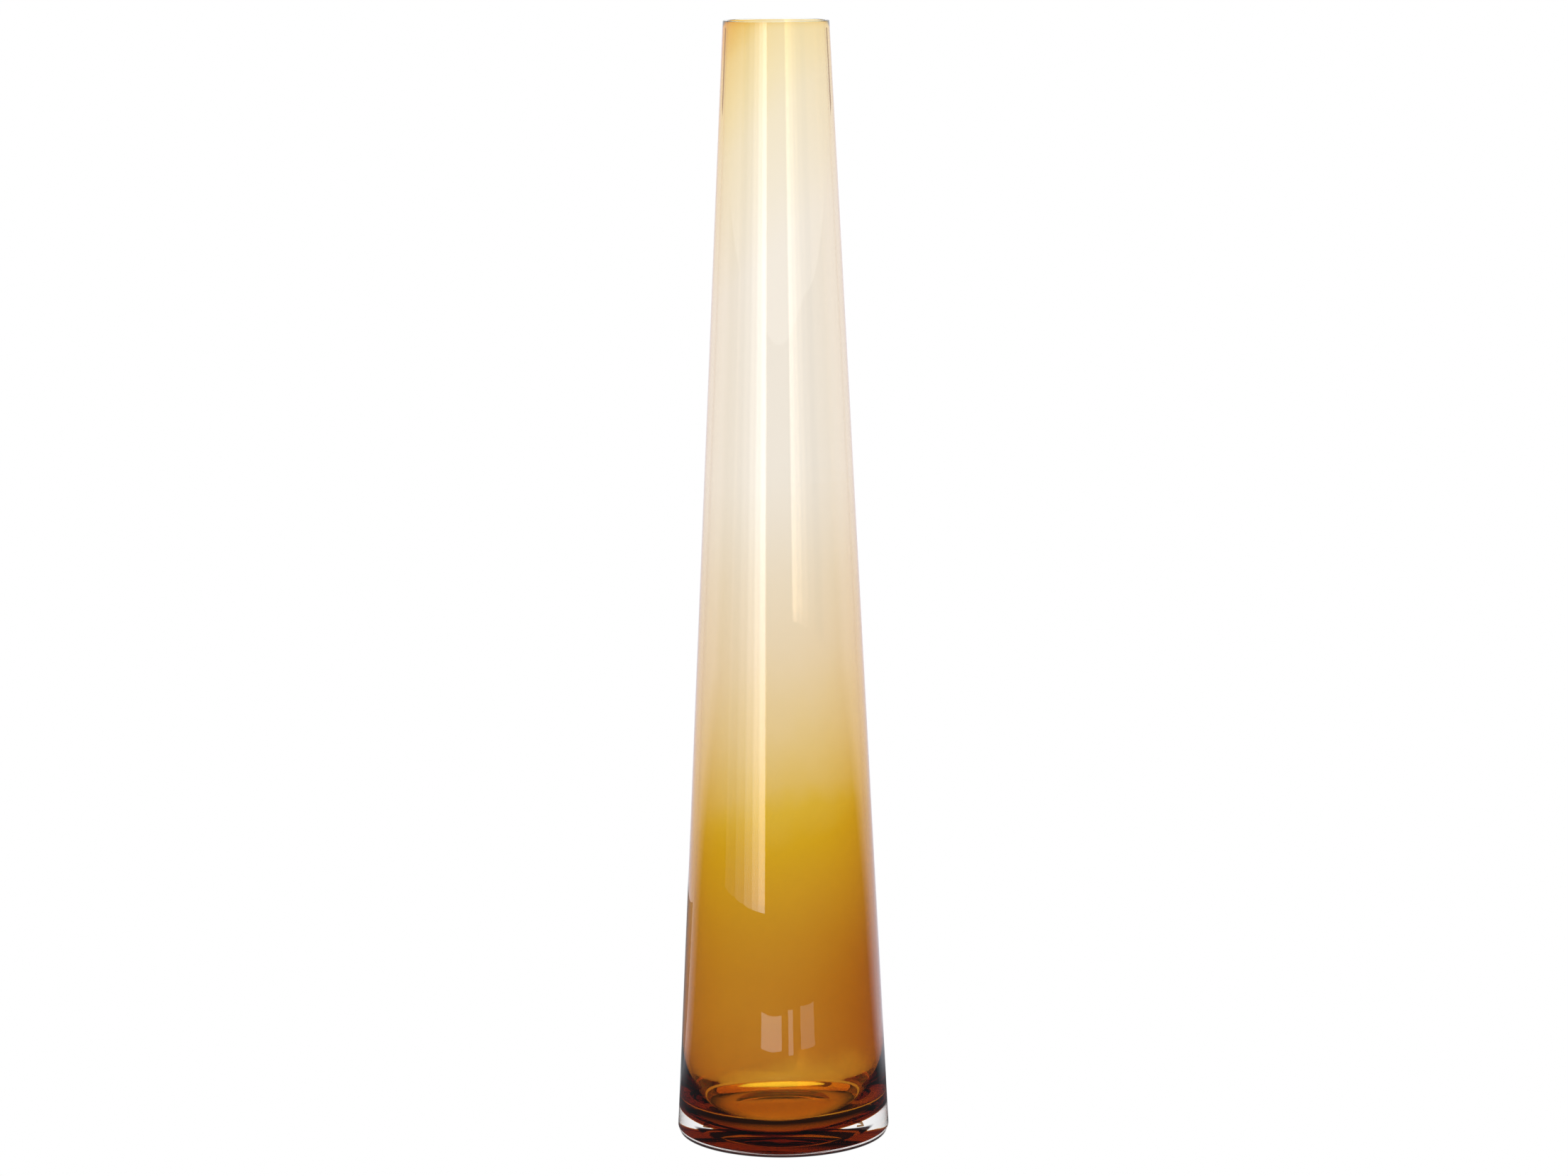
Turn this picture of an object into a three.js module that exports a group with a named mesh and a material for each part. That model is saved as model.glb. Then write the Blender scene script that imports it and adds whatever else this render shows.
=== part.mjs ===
// A tall tapered vase of hand blown cased glass, in millimetres, +Z up, standing on z = 0.
// It is made of the gathers a blower takes, from the inside out: a pale gold bubble that
// runs the whole height, an amber gather round its lower part that thins away upwards, a
// clear casing over both, and a last clear gather that makes the heavy foot. All of them are
// turned about one axis, and each one's outer face follows the inner face of the next.
import * as THREE from "three";

// Driving dimensions
const HEIGHT = 700; // rim above the table
const BASE_DIAMETER = 134.4; // outside, where the cone meets the table
const RIM_DIAMETER = 65.4; // outside, at the rim
const WALL = 4.2; // all the layers together, level with the table
const RIM_WALL = 2.9; // the same at the rim
const LINING = 0.9; // gold bubble
const AMBER = 1.5; // amber gather at its thickest
const AMBER_EDGE = 0.5; // amber gather at its upper end
const JOINT = 0.1; // left open between two layers
const FLOOR_HEIGHT = 8.6; // middle of the cavity's floor above the table
const CUP_HEIGHT = 51.4; // from there to where the cavity's wall is straight
const CUP_FLATNESS = 6; // of the cup's floor; 2 is a plain ellipse
const CUP_ROUNDNESS = 2.5; // of the cup's wall; the lower, the longer it curves
const AMBER_TAPER_START = 110; // height where the amber gather starts to thin
const AMBER_TOP = 420; // height where the amber gather ends
const FOOT_COLLAR = 3; // height of the foot above the cup
const FOOT_ROUND = 3; // lower outer edge of the foot
const LIP_ROUND = 0.6; // inner and outer edges of the rim
const PONTIL_RADIUS = 34; // ground hollow under the foot
const PONTIL_DEPTH = 3;

const SEGMENTS = 48; // round the axis
const CUP_STEPS = 12; // along the cavity's cup
const ROUND_STEPS = 3; // along a small round
const HOLLOW_STEPS = 6; // across the ground hollow
const TAPER_STEPS = 5; // along the thinning of the amber gather

const { lerp, clamp } = THREE.MathUtils;
const point = (r, z) => new THREE.Vector2(r, z);

// The outside is a straight cone.
const slope = (BASE_DIAMETER - RIM_DIAMETER) / 2 / HEIGHT; // radius lost per unit of height
const lean = Math.atan(slope); // of the wall, from upright
const outerRadius = (z) => BASE_DIAMETER / 2 - slope * z;

// The foot and the casing meet at this height, where the cavity's wall is already straight.
const jointHeight = FLOOR_HEIGHT + CUP_HEIGHT + FOOT_COLLAR;

// The wall thins evenly from the table to the rim.
const wallThickness = (z) => lerp(WALL, RIM_WALL, z / HEIGHT);

// Radius of a wall face that lies `depth` outside the cavity.
const wallRadius = (depth, z) => outerRadius(z) - wallThickness(z) + depth;

// Thickness of the amber gather, thinning evenly upwards from its start to its edge.
function amberThickness(z) {
  const share = (z - AMBER_TAPER_START) / (AMBER_TOP - AMBER_TAPER_START);
  return lerp(AMBER, AMBER_EDGE, clamp(share, 0, 1));
}

// Points on an arc, both ends included. At angle 0 a point is straight out from the arc's
// centre, at 90 degrees straight above it.
function arc(r, z, radius, from, to, steps) {
  return Array.from({ length: steps + 1 }, (_, i) => {
    const angle = lerp(from, to, i / steps);
    return point(r + radius * Math.cos(angle), z + radius * Math.sin(angle));
  });
}

// A point of the cavity's cup: share 0 is the middle of its floor, share 1 the top of the
// cup, where it has become the straight wall.
function cupPoint(share) {
  const turn = (Math.PI / 2) * share;
  const down = Math.max(Math.cos(turn), 0) ** (2 / CUP_ROUNDNESS);
  const z = FLOOR_HEIGHT + CUP_HEIGHT * (1 - down);
  const short = wallRadius(0, FLOOR_HEIGHT) * (1 - Math.sin(turn) ** (2 / CUP_FLATNESS));
  return point(wallRadius(0, z) - short, z);
}

// A face that lies `depth` outside the cup, squarely off it, from the middle of the floor to
// the top.
function cup(depth) {
  const top = FLOOR_HEIGHT + CUP_HEIGHT;
  const curve = [];
  for (let i = 1; i < CUP_STEPS; i += 1) {
    const along = cupPoint((i + 0.5) / CUP_STEPS).sub(cupPoint((i - 0.5) / CUP_STEPS));
    along.normalize();
    const place = cupPoint(i / CUP_STEPS);
    curve.push(point(place.x + depth * along.y, place.y - depth * along.x));
  }
  return [point(0, FLOOR_HEIGHT - depth), ...curve, point(wallRadius(depth, top), top)];
}

// The amber gather's outer wall above the cup, bottom to top, `gap` outside the glass.
function amberWall(gap) {
  return Array.from({ length: TAPER_STEPS + 1 }, (_, i) => {
    const z = lerp(AMBER_TAPER_START, AMBER_TOP, i / TAPER_STEPS);
    return point(wallRadius(LINING + amberThickness(z) + gap, z), z);
  });
}

// Turns an outline about the axis. It runs anticlockwise, solid on its left, and either
// starts and ends on the axis or goes all the way round.
function turned(name, outline, material) {
  const open = outline[0].x === 0;
  const closed = open ? outline : [...outline, outline[0].clone()];
  const geometry = new THREE.LatheGeometry(closed, SEGMENTS);
  geometry.rotateX(Math.PI / 2);
  const mesh = new THREE.Mesh(geometry, material);
  mesh.name = name;
  return mesh;
}

function glass(color, opacity) {
  return new THREE.MeshStandardMaterial({
    color,
    opacity,
    transparent: true,
    roughness: 0.03,
    metalness: 0,
  });
}

// The gold bubble. Its top is the inner part of the rim, rounded on the side of the mouth.
function goldLining() {
  const outer = LINING - JOINT;
  const outside = [...cup(outer), point(wallRadius(outer, HEIGHT), HEIGHT)];
  const mouth = arc(
    wallRadius(0, HEIGHT) + LIP_ROUND,
    HEIGHT - LIP_ROUND,
    LIP_ROUND,
    Math.PI / 2,
    Math.PI,
    ROUND_STEPS,
  );
  const inside = cup(0).reverse();
  return turned("gold_lining", [...outside, ...mouth, ...inside], glass(0xf1dca6, 0.35));
}

// The amber gather: a deep cup round the lower part of the bubble.
function amberGather() {
  const top = AMBER_TOP - JOINT;
  const outside = [...cup(LINING + AMBER - JOINT), ...amberWall(-JOINT).slice(0, -1)];
  const edge = [
    point(wallRadius(LINING + AMBER_EDGE - JOINT, top), top),
    point(wallRadius(LINING, top), top),
  ];
  const inside = cup(LINING).reverse();
  return turned("amber_gather", [...outside, ...edge, ...inside], glass(0xb87820, 0.6));
}

// The clear casing: a tapered tube from the foot to the rim.
function clearCasing() {
  const rim = arc(
    outerRadius(HEIGHT) - LIP_ROUND,
    HEIGHT - LIP_ROUND,
    LIP_ROUND,
    lean,
    Math.PI / 2,
    ROUND_STEPS,
  );
  const outline = [
    point(outerRadius(jointHeight), jointHeight),
    ...rim,
    point(wallRadius(LINING, HEIGHT), HEIGHT),
    point(wallRadius(LINING, AMBER_TOP), AMBER_TOP),
    ...amberWall(0).reverse(),
    point(wallRadius(LINING + AMBER, jointHeight), jointHeight),
  ];
  return turned("clear_casing", outline, glass(0xf4f6f5, 0.25));
}

// The foot: a thick clear disc, cupped on top for the amber gather and ground hollow
// underneath where the pontil was broken off.
function clearFoot() {
  const top = jointHeight - JOINT;
  const hollow = Array.from({ length: HOLLOW_STEPS + 1 }, (_, i) => {
    const share = i / HOLLOW_STEPS;
    return point(PONTIL_RADIUS * share, PONTIL_DEPTH * (1 - share ** 2));
  });
  const edge = arc(
    outerRadius(FOOT_ROUND) - FOOT_ROUND,
    FOOT_ROUND,
    FOOT_ROUND,
    -Math.PI / 2,
    lean,
    ROUND_STEPS,
  );
  edge[0].y = 0;
  const seat = cup(LINING + AMBER).reverse();
  const outline = [
    ...hollow,
    ...edge,
    point(outerRadius(top), top),
    point(wallRadius(LINING + AMBER, top), top),
    ...seat,
  ];
  return turned("clear_foot", outline, glass(0xf4f6f5, 0.25));
}

const vase = new THREE.Group();
vase.name = "vase";
vase.add(clearFoot(), clearCasing(), amberGather(), goldLining());

export default vase;
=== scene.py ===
from math import atan, cos, exp, hypot, pi, radians, sin, tan

import bmesh
import bpy
from mathutils import Matrix, Vector, noise


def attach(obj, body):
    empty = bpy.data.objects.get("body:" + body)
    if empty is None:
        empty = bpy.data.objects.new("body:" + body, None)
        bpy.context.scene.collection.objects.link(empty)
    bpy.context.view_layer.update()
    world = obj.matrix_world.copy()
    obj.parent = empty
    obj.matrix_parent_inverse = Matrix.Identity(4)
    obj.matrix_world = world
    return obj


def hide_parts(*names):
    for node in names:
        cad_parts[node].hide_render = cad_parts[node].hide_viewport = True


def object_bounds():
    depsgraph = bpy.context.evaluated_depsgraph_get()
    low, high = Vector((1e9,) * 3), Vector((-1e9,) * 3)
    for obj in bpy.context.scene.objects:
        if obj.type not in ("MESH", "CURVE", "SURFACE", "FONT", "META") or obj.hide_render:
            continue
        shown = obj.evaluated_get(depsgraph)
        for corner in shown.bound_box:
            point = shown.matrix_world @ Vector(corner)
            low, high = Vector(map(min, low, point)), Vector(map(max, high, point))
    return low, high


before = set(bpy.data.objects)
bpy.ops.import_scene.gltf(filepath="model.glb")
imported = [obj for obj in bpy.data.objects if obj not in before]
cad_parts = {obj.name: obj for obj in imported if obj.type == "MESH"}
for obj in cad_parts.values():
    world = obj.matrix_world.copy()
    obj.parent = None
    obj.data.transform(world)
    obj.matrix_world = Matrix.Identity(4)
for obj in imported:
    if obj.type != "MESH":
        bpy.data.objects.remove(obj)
cadLow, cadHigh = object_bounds()
scene = bpy.context.scene
mm = 0.001

# The wall of the vase, shared by every piece of glass. The outside is a straight cone.
wallShape = dict(
    height=cadHigh.z,
    baseRadius=67.15 * mm,
    rimRadius=32.68 * mm,
    wall=4.2 * mm,  # all the layers together, level with the table
    rimWall=2.9 * mm,
    lining=0.9 * mm,
    amber=1.5 * mm,
    cupTop=60 * mm,  # above this the cavity's wall is straight
    squareness=6.0,
    roundness=2.5,
    floorHeight=8.6 * mm,
    skin=0.05 * mm,  # left between two faces
)
wallSlope = (wallShape["baseRadius"] - wallShape["rimRadius"]) / wallShape["height"]
wallLean = atan(wallSlope)


def outerRadius(z):
    return wallShape["baseRadius"] - wallSlope * z


def wallRadius(depth, z):
    # the wall thins evenly from the table to the rim
    thinned = (wallShape["wall"] - wallShape["rimWall"]) * z / wallShape["height"]
    return outerRadius(z) - wallShape["wall"] + thinned + depth


def arcPoints(r, z, radius, start, end, steps):
    turns = [start + (end - start) * i / steps for i in range(steps + 1)]
    return [(r + radius * cos(turn), z + radius * sin(turn)) for turn in turns]


def cupPoints(depth, steps=60):
    # a face that lies depth outside the cavity, from the middle of its floor to the straight wall
    shape = wallShape
    power = 2 / shape["squareness"]
    rise = 2 / shape["roundness"]
    curve = []
    for i in range(steps + 1):
        turn = pi / 2 * i / steps
        up = max(cos(turn), 0) ** rise if i < steps else 0
        z = shape["cupTop"] - (shape["cupTop"] - shape["floorHeight"]) * up
        short = wallRadius(0, shape["floorHeight"]) * (1 - sin(turn) ** power)
        curve.append((wallRadius(0, z) - short, z))
    face = [(0, shape["floorHeight"] - depth)]
    for before, (r, z), after in zip(curve, curve[1:], curve[2:]):
        dr, dz = after[0] - before[0], after[1] - before[1]
        face.append((r + depth * dz / hypot(dr, dz), z - depth * dr / hypot(dr, dz)))
    return face + [(wallRadius(depth, shape["cupTop"]), shape["cupTop"])]


def wallPoints(depth, low, high, steps):
    heights = [low + (high - low) * i / steps for i in range(steps + 1)]
    return [(wallRadius(depth, z), z) for z in heights]


# Hand work: the cup sits a little askew, and the wall wanders slightly all over.
handWork = dict(
    tilt=0.03,
    fadeLow=20 * mm,
    fadeHigh=75 * mm,
    cavityFrom=4 * mm,  # higher than the hollow under the foot
    ripple=0.05 * mm,
    patch=26 * mm,
    tall=3.0,
    still=30 * mm,  # nothing wanders this near the axis
)


def skewed(v):
    # tilts the cup, easing off up the wall
    share = (handWork["fadeHigh"] - v.z) / (handWork["fadeHigh"] - handWork["fadeLow"])
    share = min(max(share, 0), 1)
    v.z += handWork["tilt"] * v.x * share * share * (3 - 2 * share)


def skewedCavity(v):
    # the same for the cavity's side of the clear glass alone
    inside = hypot(v.x, v.y) < outerRadius(v.z) - wallShape["wall"] / 2
    if inside and v.z > handWork["cavityFrom"]:
        skewed(v)


def rippled(v):
    r = hypot(v.x, v.y)
    if r < handWork["still"]:
        return
    patch = handWork["patch"]
    swing = noise.noise(Vector((v.x / patch, v.y / patch, v.z / patch / handWork["tall"])))
    v.xy *= 1 - handWork["ripple"] * (1 + swing) / r


def turnedPiece(name, outline, turns=128, shifts=()):
    # an outline turned about the axis; each shift then moves its vertices
    bm = bmesh.new()
    verts = [bm.verts.new((r, 0, z)) for r, z in outline]
    edges = [bm.edges.new(pair) for pair in zip(verts, verts[1:])]
    bmesh.ops.spin(
        bm, geom=verts + edges, cent=(0, 0, 0), axis=(0, 0, 1), dvec=(0, 0, 0),
        angle=2 * pi, steps=turns, use_merge=True, use_duplicate=False,
    )
    bmesh.ops.remove_doubles(bm, verts=bm.verts, dist=0.001 * mm)
    for shift in shifts:
        for v in bm.verts:
            shift(v.co)
    bmesh.ops.recalc_face_normals(bm, faces=bm.faces)
    for face in bm.faces:
        face.smooth = True
    mesh = bpy.data.meshes.new(name)
    bm.to_mesh(mesh)
    bm.free()
    piece = bpy.data.objects.new(name, mesh)
    scene.collection.objects.link(piece)
    return piece


def newMaterial(name):
    material = bpy.data.materials.new(name)
    material.use_nodes = True
    nodes = material.node_tree.nodes
    return material, nodes, material.node_tree.links, nodes["Principled BSDF"]


def addMath(nodes, links, operation, *values):
    # each value is a number or another node's output
    node = nodes.new("ShaderNodeMath")
    node.operation = operation
    for socket, value in zip(node.inputs, values):
        if isinstance(value, (int, float)):
            socket.default_value = value
        else:
            links.new(value, socket)
    return node.outputs[0]


def addRange(nodes, links, value, start, end, low=0.0):
    # low up to start, 1 from end on
    node = nodes.new("ShaderNodeMapRange")
    node.inputs["From Min"].default_value = start
    node.inputs["From Max"].default_value = end
    node.inputs["To Min"].default_value = low
    links.new(value, node.inputs["Value"])
    return node.outputs["Result"]


def addRamp(nodes, links, share, stops, top):
    # colours at places given from 0 to top
    node = nodes.new("ShaderNodeValToRGB")
    elements = node.color_ramp.elements
    places = [place / top for place, colour in stops]
    for place in places[1:-1]:
        elements.new(place)
    elements[0].position = places[0]
    elements[-1].position = places[-1]
    for element, (place, colour) in zip(elements, stops):
        element.color = (*colour, 1)
    links.new(share, node.inputs[0])
    return node.outputs["Color"]


def unevenGroup():
    # how unevenly hand worked glass is spread: broad drifts with finer ones on them, drawn out upwards
    group = bpy.data.node_groups.new("unevenGlass", "ShaderNodeTree")
    group.interface.new_socket("Patch", in_out="INPUT", socket_type="NodeSocketFloat")
    group.interface.new_socket("Drawn Out", in_out="INPUT", socket_type="NodeSocketFloat")
    group.interface.new_socket("Swing", in_out="OUTPUT", socket_type="NodeSocketFloat")
    nodes, links = group.nodes, group.links
    given = nodes.new("NodeGroupInput")
    result = nodes.new("NodeGroupOutput")
    coords = nodes.new("ShaderNodeTexCoord")
    reach = nodes.new("ShaderNodeCombineXYZ")
    reach.inputs["X"].default_value = 1
    reach.inputs["Y"].default_value = 1
    links.new(addMath(nodes, links, "DIVIDE", 1, given.outputs["Drawn Out"]), reach.inputs["Z"])
    place = nodes.new("ShaderNodeVectorMath")
    place.operation = "MULTIPLY"
    links.new(coords.outputs["Object"], place.inputs[0])
    links.new(reach.outputs[0], place.inputs[1])
    drift = nodes.new("ShaderNodeTexNoise")
    drift.inputs["Detail"].default_value = 3
    drift.inputs["Roughness"].default_value = 0.55
    links.new(place.outputs["Vector"], drift.inputs["Vector"])
    links.new(addMath(nodes, links, "DIVIDE", 1, given.outputs["Patch"]), drift.inputs["Scale"])
    doubled = addMath(nodes, links, "MULTIPLY_ADD", drift.outputs["Fac"], 2, -1)
    links.new(doubled, result.inputs["Swing"])
    return group


unevenGlass = unevenGroup()


def addUneven(nodes, patch, drawnOut):
    node = nodes.new("ShaderNodeGroup")
    node.node_tree = unevenGlass
    node.inputs["Patch"].default_value = patch
    node.inputs["Drawn Out"].default_value = drawnOut
    return node.outputs["Swing"]


clearGlass = dict(
    ior=1.5,
    edge=(0.80, 0.70, 0.64),  # seen along the surface, where the glass is deepest
    edgeStart=0.70,
    edgeEnd=0.90,
    cordPatch=9 * mm,
    cordDrawn=5.0,
    cordHeight=0.0015 * mm,
)


def clearMaterial():
    material, nodes, links, shader = newMaterial("clearGlass")
    look = clearGlass
    shader.inputs["Roughness"].default_value = 0
    shader.inputs["IOR"].default_value = look["ior"]
    shader.inputs["Transmission Weight"].default_value = 1
    weight = nodes.new("ShaderNodeLayerWeight")
    weight.inputs["Blend"].default_value = 0.5
    edge = addRange(nodes, links, weight.outputs["Facing"], look["edgeStart"], look["edgeEnd"])
    edge.node.interpolation_type = "SMOOTHSTEP"
    mix = nodes.new("ShaderNodeMix")
    mix.data_type = "RGBA"
    mix.inputs["A"].default_value = (1, 1, 1, 1)
    mix.inputs["B"].default_value = (*look["edge"], 1)
    links.new(edge, mix.inputs["Factor"])
    links.new(mix.outputs["Result"], shader.inputs["Base Color"])
    # faint cords, drawn out along the wall
    bump = nodes.new("ShaderNodeBump")
    bump.inputs["Distance"].default_value = look["cordHeight"]
    links.new(addUneven(nodes, look["cordPatch"], look["cordDrawn"]), bump.inputs["Height"])
    links.new(bump.outputs["Normal"], shader.inputs["Normal"])
    return material


tintTop = 735 * mm  # height at the top of a tint's colour ramp


def tintMaterial(name, look):
    # coloured by height above the table, with an uneven border
    material, nodes, links, shader = newMaterial(name)
    shader.inputs["Roughness"].default_value = 0
    shader.inputs["IOR"].default_value = 1.0
    shader.inputs["Transmission Weight"].default_value = 1
    coords = nodes.new("ShaderNodeTexCoord")
    split = nodes.new("ShaderNodeSeparateXYZ")
    links.new(coords.outputs["Object"], split.inputs[0])
    uneven = addUneven(nodes, look["patch"], look["drawnOut"])
    bordered = addMath(nodes, links, "MULTIPLY_ADD", uneven, look["border"], split.outputs["Z"])
    leaning = addMath(nodes, links, "MULTIPLY_ADD", split.outputs["X"], -look["lean"], bordered)
    share = addRange(nodes, links, leaning, 0, tintTop)
    tint = addRamp(nodes, links, share, look["stops"], tintTop)
    # the glass is deeper where it is seen slantwise
    weight = nodes.new("ShaderNodeLayerWeight")
    weight.inputs["Blend"].default_value = 0.5
    upright = addMath(nodes, links, "SUBTRACT", 1, weight.outputs["Facing"])
    depth = addMath(nodes, links, "POWER", upright, -look["slant"])
    deeper = nodes.new("ShaderNodeGamma")
    links.new(tint, deeper.inputs["Color"])
    links.new(addMath(nodes, links, "MINIMUM", depth, look["deepest"]), deeper.inputs["Gamma"])
    links.new(deeper.outputs["Color"], shader.inputs["Base Color"])
    return material


# The clear glass of the casing and the foot is one body. The hollow under the foot has a small
# raised eye in its middle, and the vase stands on the ring round it.
clearFoot = dict(
    hollow=34 * mm,
    depth=3.0 * mm,
    eye=11 * mm,
    eyeDepth=0.35 * mm,
    round=3 * mm,
    ring=60 * mm,
)
lipRound = 0.5 * mm


def hollowPoints(steps=40):
    foot = clearFoot
    curve = []
    for i in range(steps + 1):
        r = foot["hollow"] * i / steps
        eye = foot["eyeDepth"] * (1 + cos(pi * r / foot["eye"])) / 2 if r < foot["eye"] else 0
        curve.append((r, (foot["depth"] - eye) * (1 - (i / steps) ** 2)))
    return curve


def clearBody(ringSteps=6, wallSteps=160, insideSteps=150):
    foot, top, lip = clearFoot, wallShape["height"], lipRound
    width = foot["ring"] - foot["hollow"]
    ring = [(foot["hollow"] + width * i / ringSteps, 0) for i in range(1, ringSteps)]
    low = foot["round"]
    edge = arcPoints(outerRadius(low) - low, low, low, -pi / 2, wallLean, 10)
    rise = (top - lip - low) / wallSteps
    outside = [(outerRadius(low + rise * i), low + rise * i) for i in range(1, wallSteps)]
    outerLip = arcPoints(outerRadius(top) - lip, top - lip, lip, wallLean, pi / 2, 8)
    innerLip = arcPoints(wallRadius(0, top) + lip, top - lip, lip, pi / 2, pi, 8)
    cup = cupPoints(0)
    inside = wallPoints(0, cup[-1][1], top - lip, insideSteps)[1:-1]
    outline = hollowPoints() + ring + edge + outside + outerLip + innerLip
    outline += inside[::-1] + cup[::-1]
    piece = turnedPiece("clear_glass", outline, shifts=(skewedCavity, rippled))
    piece.data.materials.append(clearMaterial())
    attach(piece, "root")
    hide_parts("clear_foot", "clear_casing")


goldGlass = dict(
    border=6 * mm,
    patch=60 * mm,
    drawnOut=2.0,
    lean=0.9,  # the gold reaches lower on one side
    slant=1.5,
    deepest=3,
    stops=[  # height above the table, and colour
        (0.0, (0.95, 0.88, 0.80)),
        (0.42, (0.95, 0.91, 0.85)),
        (0.56, (0.955, 0.915, 0.855)),
        (0.644, (0.955, 0.895, 0.765)),
        (0.675, (0.955, 0.875, 0.68)),
        (0.70, (0.95, 0.845, 0.60)),
        (0.72, (0.93, 0.77, 0.42)),
    ],
)


def goldLayer(steps=120):
    shape = wallShape
    top = shape["height"] - lipRound
    outer = cupPoints(shape["lining"])
    inner = cupPoints(shape["skin"])
    outside = wallPoints(shape["lining"], outer[-1][1], top, steps)[1:]
    inside = wallPoints(shape["skin"], inner[-1][1], top, steps)[1:]
    outline = outer + outside + inside[::-1] + inner[::-1]
    piece = turnedPiece("gold_layer", outline, shifts=(skewed, rippled))
    piece.data.materials.append(tintMaterial("goldGlass", goldGlass))
    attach(piece, "root")
    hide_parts("gold_lining")


amberGlass = dict(
    full=110 * mm,  # below this height the gather has its full thickness
    falloff=105 * mm,
    top=419 * mm,
    fade=60 * mm,
    heavySide=0.30,
    heavyFrom=40 * mm,
    heavyEase=25 * mm,
    heavyFalloff=60 * mm,
    depth=(0.816, 0.589, 0.10),
    density=520.0,
    border=14 * mm,
    patch=30 * mm,
    drawnOut=1.5,
    lean=0.22,  # the amber reaches higher on one side
    slant=1.0,
    deepest=3,
    stops=[  # height above the table, and colour
        (0.0, (0.95, 0.88, 0.45)),
        (0.018, (0.93, 0.84, 0.42)),
        (0.03, (0.82, 0.62, 0.29)),
        (0.05, (0.82, 0.64, 0.29)),
        (0.075, (0.85, 0.69, 0.29)),
        (0.12, (0.87, 0.735, 0.28)),
        (0.195, (0.925, 0.825, 0.17)),
        (0.212, (0.955, 0.88, 0.50)),
        (0.25, (0.975, 0.925, 0.74)),
        (0.305, (0.985, 0.958, 0.895)),
        (0.375, (0.992, 0.985, 0.968)),
        (0.419, (1.0, 1.0, 1.0)),
    ],
)


def amberThickness(z):
    look = amberGlass
    fade = min((look["top"] - z) / look["fade"], 1)
    return wallShape["amber"] * exp(-max(z - look["full"], 0) / look["falloff"]) * fade


def heavier(v):
    # one side of the amber gather is thicker than the other
    look = amberGlass
    if v.z < look["heavyFrom"]:
        return
    r = hypot(v.x, v.y)
    easing = min((v.z - look["heavyFrom"]) / look["heavyEase"], 1)
    easing *= exp(-max(v.z - look["full"], 0) / look["heavyFalloff"])
    thickness = r - wallRadius(wallShape["lining"], v.z)
    v.xy *= 1 + thickness * look["heavySide"] * v.x / r * easing / r


def amberLayer(steps=80):
    shape, look = wallShape, amberGlass
    base = shape["lining"] + shape["skin"]
    outer = cupPoints(shape["lining"] + shape["amber"])
    inner = cupPoints(base)
    low = outer[-1][1]
    heights = [low + (look["top"] - low) * i / steps for i in range(1, steps + 1)]
    outside = [(wallRadius(base + amberThickness(z), z), z) for z in heights]
    inside = [(wallRadius(base, z), z) for z in heights]
    outline = outer + outside + inside[::-1] + inner[::-1]
    piece = turnedPiece("amber_layer", outline, shifts=(heavier, skewed, rippled))
    material = tintMaterial("amberGlass", look)
    nodes = material.node_tree.nodes
    depth = nodes.new("ShaderNodeVolumeAbsorption")
    depth.inputs["Color"].default_value = (*look["depth"], 1)
    depth.inputs["Density"].default_value = look["density"]
    material.node_tree.links.new(depth.outputs[0], nodes["Material Output"].inputs["Volume"])
    piece.data.materials.append(material)
    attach(piece, "root")
    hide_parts("amber_gather")


clearBody()
goldLayer()
amberLayer()
print("glass made")


def stagePlane(name, size, place, material):
    bm = bmesh.new()
    scaled = place @ Matrix.Diagonal((*size, 1, 1))
    bmesh.ops.create_grid(bm, x_segments=1, y_segments=1, size=0.5, matrix=scaled)
    return stagePiece(name, bm, material)


def stagePiece(name, bm, material):
    mesh = bpy.data.meshes.new(name)
    bm.to_mesh(mesh)
    bm.free()
    piece = bpy.data.objects.new(name, mesh)
    scene.collection.objects.link(piece)
    mesh.materials.append(material)
    return piece


def glowMaterial(name, colour, strength):
    material = bpy.data.materials.new(name)
    material.use_nodes = True
    nodes = material.node_tree.nodes
    nodes.clear()
    glow = nodes.new("ShaderNodeEmission")
    glow.inputs["Color"].default_value = (*colour, 1)
    glow.inputs["Strength"].default_value = strength
    out = nodes.new("ShaderNodeOutputMaterial")
    material.node_tree.links.new(glow.outputs[0], out.inputs["Surface"])
    return material


def addReach(nodes, links):
    # the direction from the axis, and the distance
    coords = nodes.new("ShaderNodeTexCoord")
    towards = nodes.new("ShaderNodeVectorMath")
    towards.operation = "NORMALIZE"
    links.new(coords.outputs["Object"], towards.inputs[0])
    reach = nodes.new("ShaderNodeVectorMath")
    reach.operation = "LENGTH"
    links.new(coords.outputs["Object"], reach.inputs[0])
    return towards.outputs["Vector"], reach.outputs["Value"]


paleFloor = dict(
    size=80,
    depth=0.6 * mm,  # below the foot, so that the two don't touch
    open=(1.0, 1.0, 1.0),
    under=(0.9, 0.55, 0.22),  # painted light, standing in for what comes down through the glass
    # painted shadow, where the foot stands on the floor
    paintedShadow=(0.03, 0.02, 0.02),
    stops=(32 * mm, 56 * mm, 65.2 * mm, 66 * mm),
    top=100 * mm,
)


def floorWithPaintedShadowMaterial():
    # plain pale floor that glows evenly; under the foot it has painted amber light in the middle and a
    # painted shadow out to the ring the foot stands on
    look = paleFloor
    material = glowMaterial("paleFloor", look["open"], 1.0)
    nodes, links = material.node_tree.nodes, material.node_tree.links
    towards, reach = addReach(nodes, links)
    share = addRange(nodes, links, reach, 0, look["top"])
    colours = (look["under"], look["paintedShadow"], look["paintedShadow"], look["open"])
    ramp = addRamp(nodes, links, share, list(zip(look["stops"], colours)), look["top"])
    links.new(ramp, nodes["Emission"].inputs["Color"])
    return material


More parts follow.
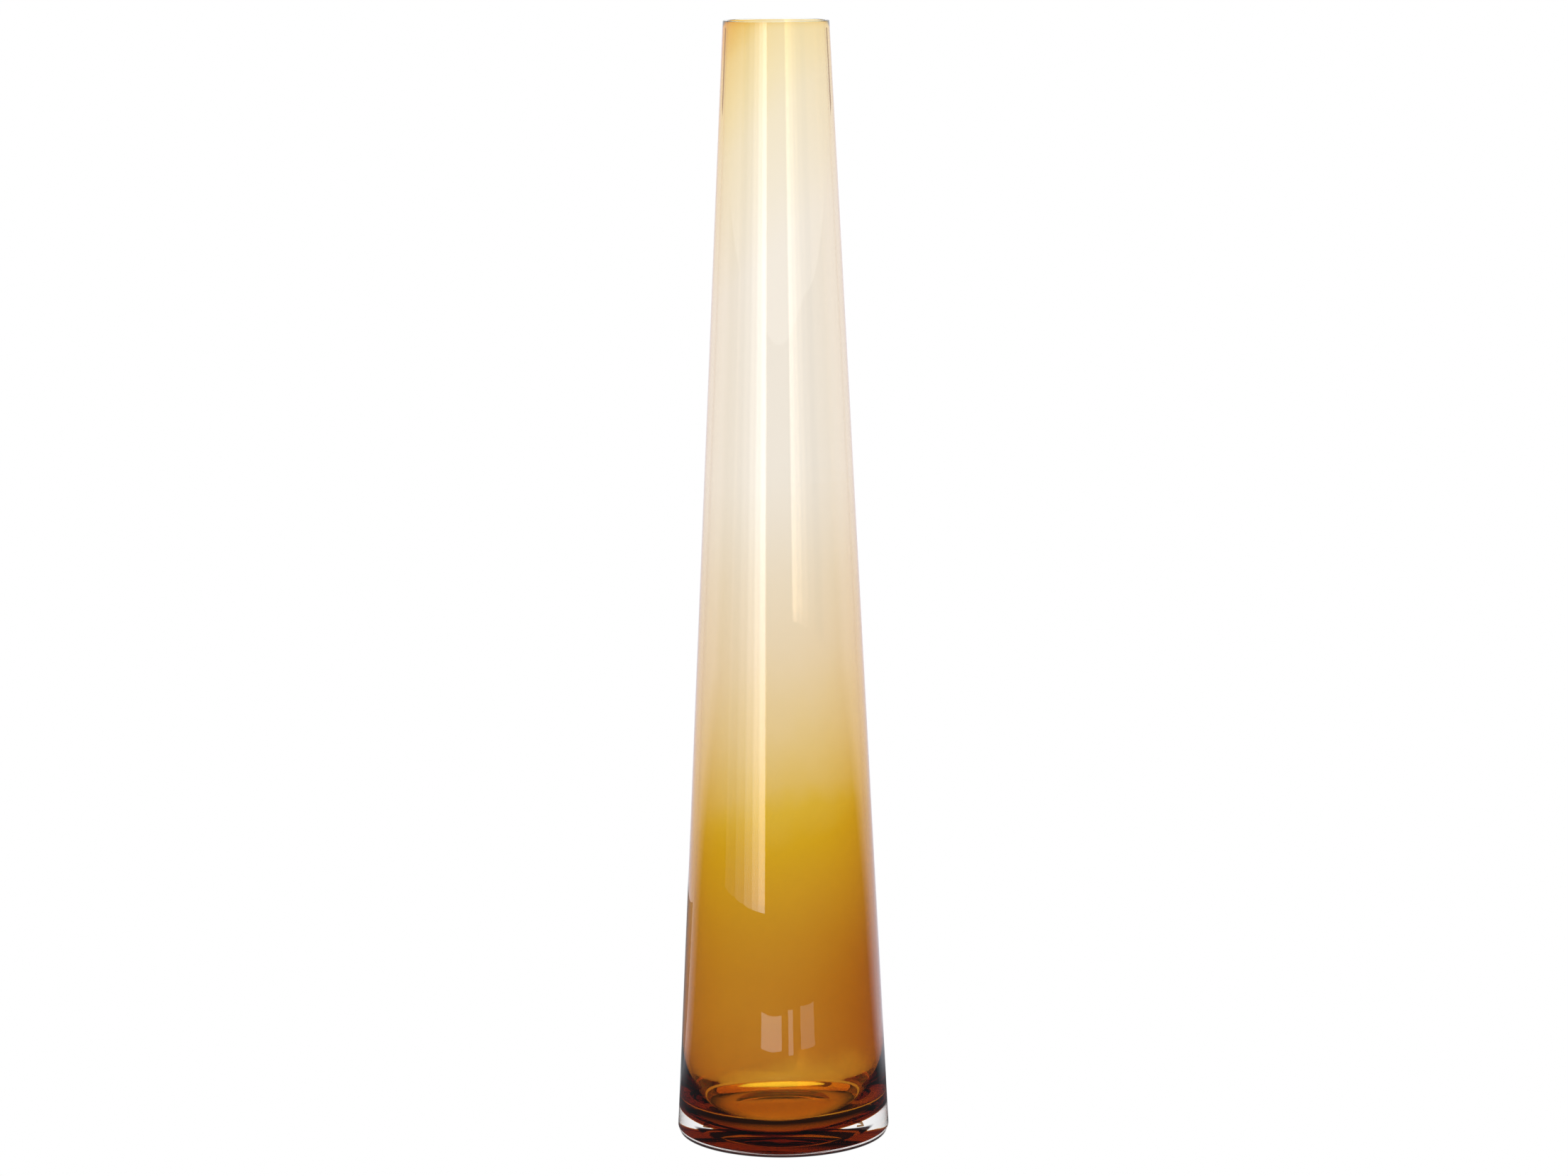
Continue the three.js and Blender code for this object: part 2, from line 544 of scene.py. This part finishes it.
paintedReflectionFloor = dict(
    colour=(0.95, 0.92, 1.0),
    paintedFrontShade=0.12,  # painted shade in front, where the studio is dark, and round the vase
    behind=(0.42, 0.68),  # how far round the painted light brightens it, as a share of straight behind
    clear=(0.15, 0.30),  # metres from the axis where the painted shadow of the vase ends
    far=(0.8, 2.5),  # metres over which the painted light brightens it further round
    farther=0.45,
)


def paintedReflectionFloorMaterial():
    # a glowing copy of the floor, seen only in reflections, with painted shade in front, a painted
    # shadow of the vase round its foot and painted light behind
    look = paintedReflectionFloor
    material = glowMaterial("paintedReflectionFloor", look["colour"], 1.0)
    nodes, links = material.node_tree.nodes, material.node_tree.links
    towards, reach = addReach(nodes, links)
    split = nodes.new("ShaderNodeSeparateXYZ")
    links.new(towards, split.inputs[0])
    far = addRange(nodes, links, reach, *look["far"])
    wider = addMath(nodes, links, "MULTIPLY_ADD", far, look["farther"], split.outputs["Y"])
    behind = addRange(nodes, links, wider, *look["behind"])
    clear = addRange(nodes, links, reach, *look["clear"])
    both = addMath(nodes, links, "MULTIPLY", behind, clear)
    strength = addRange(nodes, links, both, 0, 1, low=look["paintedFrontShade"])
    links.new(strength, nodes["Emission"].inputs["Strength"])
    return material


floorSize = (paleFloor["size"], paleFloor["size"])
floorPlace = Matrix.Translation((0, 0, -paleFloor["depth"]))
floor = stagePlane("floor", floorSize, floorPlace, floorWithPaintedShadowMaterial())
# reflections show the copy with painted shade and light, not the pale floor
floor.visible_glossy = False
paintedReflectionPiece = stagePlane("paintedReflectionFloor", floorSize, floorPlace, paintedReflectionFloorMaterial())
paintedReflectionPiece.visible_camera = False
paintedReflectionPiece.visible_transmission = False
paintedReflectionPiece.visible_diffuse = False
print("floor laid")


# Cards light the glass and show in it. Their turns are degrees round from the camera, to the right.
def standingCard(name, turn, distance, width, low, high, colour, strength):
    angle = radians(turn)
    middle = Vector((sin(angle) * distance, -cos(angle) * distance, (low + high) / 2))
    upright = Matrix.Rotation(angle, 4, "Z") @ Matrix.Rotation(radians(90), 4, "X")
    place = Matrix.Translation(middle) @ upright
    card = stagePlane(name, (width, high - low), place, glowMaterial(name, colour, strength))
    card.visible_camera = False
    return card


def tableCard(name, start, end, nearest, farthest, colour, strength):
    bm = bmesh.new()
    corners = [(start, nearest), (end, nearest), (end, farthest), (start, farthest)]
    height = -paleFloor["depth"] / 2
    places = [(sin(radians(turn)) * r, -cos(radians(turn)) * r, height) for turn, r in corners]
    bm.faces.new([bm.verts.new(place) for place in places])
    card = stagePiece(name, bm, glowMaterial(name, colour, strength))
    card.visible_camera = False
    return card


# a tall softbox to the left, brightest along its right edge
softbox = dict(
    distance=1.1,
    height=1.24,
    parts=[  # from, to, strength
        (20, 28, 4.5),
        (28, 36, 3.2),
        (36, 46, 1.9),
        (46, 58, 1.0),
        (58, 72, 0.5),
    ],
)
for start, end, strength in softbox["parts"]:
    turn = -(start + end) / 2
    width = 2 * softbox["distance"] * tan(radians((end - start) / 2))
    name = "softbox%d" % start
    standingCard(name, turn, softbox["distance"], width, 0, softbox["height"], (1, 1, 1), strength)

# window light on the table in front, which only the outside of the glass shows
windowPatches = [  # from, to, nearest, farthest, strength
    (-23, -1, 0.445, 0.60, 2.6),
    (6, 11, 0.425, 0.62, 2.2),
    (19, 34, 0.445, 0.63, 1.4),
]
for i, (start, end, nearest, farthest, strength) in enumerate(windowPatches):
    card = tableCard("windowPatch%d" % i, start, end, nearest, farthest, (1, 1, 1), strength)
    card.visible_transmission = False

# the table is darker behind on the left, which only the left edge of the glass shows
darkBehind = tableCard("darkBehind", -178, -135, 0.05, 0.75, (0.9, 0.95, 1), 0.3)
darkBehind.visible_transmission = False

# the backdrop ends to both sides, which shows only as thin lines at the sides of the rim
backdropEnd = dict(distance=3.0, width=0.35, low=0.54, high=0.85, colour=(0.5, 0.3, 0.15), strength=0.6)
for i, turn in enumerate((-148, 148)):
    card = standingCard("backdropEnd%d" % i, turn, **backdropEnd)
    card.visible_glossy = False

overheadLight = dict(size=(5.6, 2.2), place=(0.3, -0.1, 1.5), colour=(0.95, 1.25, 0.80), strength=2.6)
overhead = stagePlane(
    "overhead",
    overheadLight["size"],
    Matrix.Translation(overheadLight["place"]),
    glowMaterial("overhead", overheadLight["colour"], overheadLight["strength"]),
)
overhead.visible_camera = False


# the backdrop is white low down, with a dark studio above it: share of straight up, and colour
studio = [(0.29, (1, 1, 1)), (0.31, (0.03, 0.025, 0.03))]


def studioWorld():
    world = bpy.data.worlds.new("studio")
    world.use_nodes = True
    nodes, links = world.node_tree.nodes, world.node_tree.links
    coords = nodes.new("ShaderNodeTexCoord")
    split = nodes.new("ShaderNodeSeparateXYZ")
    links.new(coords.outputs["Generated"], split.inputs[0])
    ramp = addRamp(nodes, links, split.outputs["Z"], studio, 1)
    links.new(ramp, nodes["Background"].inputs["Color"])
    return world


scene.world = studioWorld()
print("light set")

view = dict(place=(0.0026, -2.647, 0.796), down=9.603, roll=-0.375, lens=98.7, sensor=36)
camera = bpy.data.objects.new("camera", bpy.data.cameras.new("camera"))
scene.collection.objects.link(camera)
scene.camera = camera
camera.data.lens = view["lens"]
camera.data.sensor_width = view["sensor"]
camera.matrix_world = (
    Matrix.Translation(view["place"])
    @ Matrix.Rotation(radians(90 - view["down"]), 4, "X")
    @ Matrix.Rotation(radians(view["roll"]), 4, "Z")
)

# thick glass takes many bounces
scene.view_settings.view_transform = "Standard"
scene.cycles.max_bounces = 40
scene.cycles.transmission_bounces = 40
scene.cycles.glossy_bounces = 16
print("camera set")
